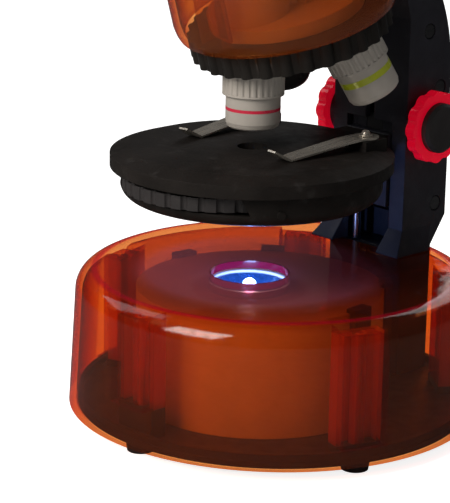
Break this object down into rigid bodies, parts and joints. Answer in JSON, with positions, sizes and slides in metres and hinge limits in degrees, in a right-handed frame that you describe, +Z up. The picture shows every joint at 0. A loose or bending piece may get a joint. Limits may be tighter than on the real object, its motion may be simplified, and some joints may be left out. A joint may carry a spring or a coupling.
{
  "type": "kids microscope",
  "caption": "Toy microscope with a round lit translucent base, rack-focused round stage with clips, leaning turret with objectives and an inclined eyepiece.",
  "frame": {"origin": "centre of the base, on the surface the feet stand on", "axes": "+Z up; the eyepiece leans to -Y, which is the user's side; the arm stands at +Y"},
  "size_m": [0.1388, 0.1388, 0.2172],
  "materials": {
    "orange_clear": "translucent gloss",
    "black_base": "satin",
    "rubber_black": "matte",
    "steel_screw": "black oxide",
    "light_housing": "matte",
    "cell_wrap": "gloss",
    "contact_metal": "plain",
    "board_green": "matte",
    "led_clear": "clear",
    "dish_chrome": "polished",
    "collar_grey": "matte",
    "arm_dark": "fine texture",
    "switch_dark": "matte",
    "button_red": "gloss",
    "brass_bush": "turned",
    "rod_steel": "ground",
    "prism_glass": "polished",
    "lens_glass": "polished",
    "stage_black": "fine texture",
    "dark_nylon": "smooth",
    "clip_steel": "bright",
    "gel_red": "clear",
    "gel_green": "clear",
    "gel_blue": "clear",
    "knob_crimson": "translucent gloss",
    "knob_dark": "matte",
    "turret_black": "satin",
    "objective_grey": "satin",
    "objective_black": "satin",
    "band_red": "gloss",
    "band_yellow": "gloss",
    "band_blue": "gloss",
    "ball_steel": "polished"
  },
  "bodies": {
    "stand": {"base_shell": "orange_clear", "base_plate": "black_base", "rubber_feet": "rubber_black", "base_screws": "steel_screw", "lamp_housing": "light_housing", "battery_tray": "light_housing", "battery_cells": "cell_wrap", "battery_contacts": "contact_metal", "led_board": "board_green", "led": "led_clear", "lamp_dish": "dish_chrome", "lamp_collar": "collar_grey", "arm_left": "arm_dark", "arm_right": "arm_dark", "arm_screws": "steel_screw", "guide_rods": "rod_steel", "shaft_bushes": "brass_bush", "switch_body": "switch_dark", "head_shell": "orange_clear", "head_frame": "light_housing", "prism": "prism_glass", "eyepiece_tube": "arm_dark", "turret_pivot": "steel_screw", "detent_ball": "ball_steel"},
    "battery_cover": {"battery_door": "black_base"},
    "button": {"power_button": "button_red"},
    "stage": {"stage_top": "stage_black", "stage_bottom": "stage_black", "stage_carriage": "arm_dark", "focus_rack": "dark_nylon", "condenser_lens": "lens_glass", "stage_screws": "steel_screw", "clip_rivets": "clip_steel", "filter_pivot": "steel_screw"},
    "left_clip": {"clip_left": "clip_steel"},
    "right_clip": {"clip_right": "clip_steel"},
    "filter_wheel": {"filter_disc": "knob_dark", "filter_red": "gel_red", "filter_green": "gel_green", "filter_blue": "gel_blue"},
    "focus_drive": {"focus_shaft": "rod_steel", "focus_pinion": "dark_nylon", "knob_rim_left": "knob_crimson", "knob_cap_left": "knob_dark", "knob_rim_right": "knob_crimson", "knob_cap_right": "knob_dark"},
    "turret": {"turret_disc": "turret_black", "objective_low": "objective_grey", "objective_low_band": "band_red", "objective_mid": "objective_grey", "objective_mid_band": "band_yellow", "objective_high": "objective_black", "objective_high_band": "band_blue", "objective_lenses": "lens_glass"},
    "eyepiece": {"eyepiece_barrel": "arm_dark", "eyecup": "rubber_black", "eyepiece_lenses": "lens_glass"}
  },
  "joints": [
    {"name": "focus", "type": "hinge", "parent": "stand", "child": "focus_drive", "pos_m": [0, 0.0533, 0.0949], "axis": [-1, 0, 0], "range_deg": [-183, 21]},
    {"name": "stage_lift", "type": "slide", "parent": "stand", "child": "stage", "axis": [0, 0, 1], "range_m": [-0.015, 0.0015]},
    {"name": "left_clip_swing", "type": "hinge", "parent": "stage", "child": "left_clip", "pos_m": [-0.0247, 0.0156, 0.0974], "axis": [0, 0, 1], "range_deg": [-40, 20]},
    {"name": "right_clip_swing", "type": "hinge", "parent": "stage", "child": "right_clip", "pos_m": [0.0247, 0.0156, 0.0974], "axis": [0, 0, 1], "range_deg": [-20, 40]},
    {"name": "filter_turn", "type": "hinge", "parent": "stage", "child": "filter_wheel", "pos_m": [0, -0.0245, 0.0844], "axis": [0, 0, 1], "continuous": true},
    {"name": "turret_turn", "type": "hinge", "parent": "stand", "child": "turret", "pos_m": [0, -0.012, 0.184], "axis": [0, 0.2924, -0.9563], "continuous": true},
    {"name": "eyepiece_pull", "type": "slide", "parent": "stand", "child": "eyepiece", "axis": [0, -0.7071, 0.7071], "range_m": [0, 0.03]},
    {"name": "battery_cover_slide", "type": "slide", "parent": "stand", "child": "battery_cover", "axis": [0, 1, 0], "range_m": [0, 0.06]},
    {"name": "power_press", "type": "slide", "parent": "stand", "child": "button", "axis": [0, -1, 0], "range_m": [0, 0.0012], "stiffness_N_per_m": 800}
  ],
  "couplings": [
    {"joint": "focus", "follows": "stage_lift", "rad_per_m": 208.33}
  ]
}
